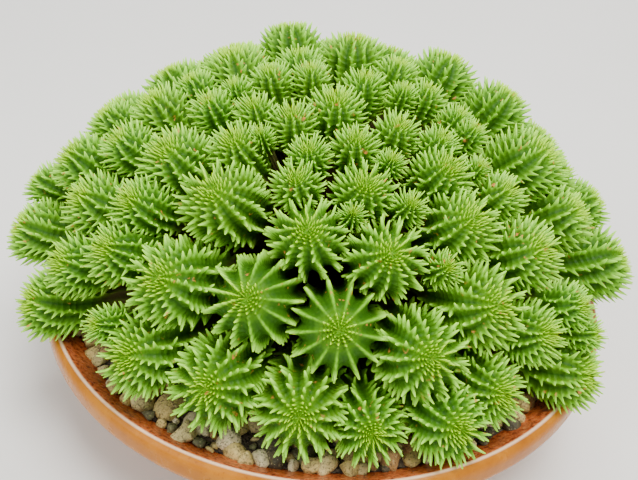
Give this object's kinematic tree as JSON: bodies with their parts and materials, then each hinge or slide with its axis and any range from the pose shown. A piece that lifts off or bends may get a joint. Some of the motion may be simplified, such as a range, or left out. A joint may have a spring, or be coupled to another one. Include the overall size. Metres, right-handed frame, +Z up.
{
  "type": "potted euphorbia",
  "caption": "Low dome of toothed, ribbed spurge heads of mixed sizes, growing in a wide shallow glazed bowl with a gravel top dressing.",
  "frame": {"origin": "middle of the bowl's flat foot, on the surface that it stands on", "axes": "+Z up, out of the bowl; -Y towards the side that is seen from the front; +X to the right seen from the front"},
  "size_m": [0.3573, 0.33, 0.2107],
  "materials": {
    "bowl": "gloss",
    "soil": "matte",
    "gravel": "matte",
    "rootstock": "matte",
    "stem": "satin"
  },
  "bodies": {
    "root": {"bowl": "bowl", "gravel": "gravel", "rootstock": "rootstock", "soil": "soil", "stem_01": "stem", "stem_02": "stem", "stem_03": "stem", "stem_04": "stem", "stem_05": "stem", "stem_06": "stem", "stem_07": "stem", "stem_08": "stem", "stem_09": "stem", "stem_10": "stem", "stem_11": "stem", "stem_12": "stem", "stem_13": "stem", "stem_14": "stem", "stem_15": "stem", "stem_16": "stem", "stem_17": "stem", "stem_18": "stem", "stem_19": "stem", "stem_20": "stem", "stem_21": "stem", "stem_22": "stem", "stem_23": "stem", "stem_24": "stem", "stem_25": "stem", "stem_26": "stem", "stem_27": "stem", "stem_28": "stem", "stem_29": "stem", "stem_30": "stem", "stem_31": "stem", "stem_32": "stem", "stem_33": "stem", "stem_34": "stem", "stem_35": "stem", "stem_36": "stem", "stem_37": "stem", "stem_38": "stem", "stem_39": "stem", "stem_40": "stem", "stem_41": "stem", "stem_42": "stem", "stem_43": "stem"}
  },
  "joints": []
}
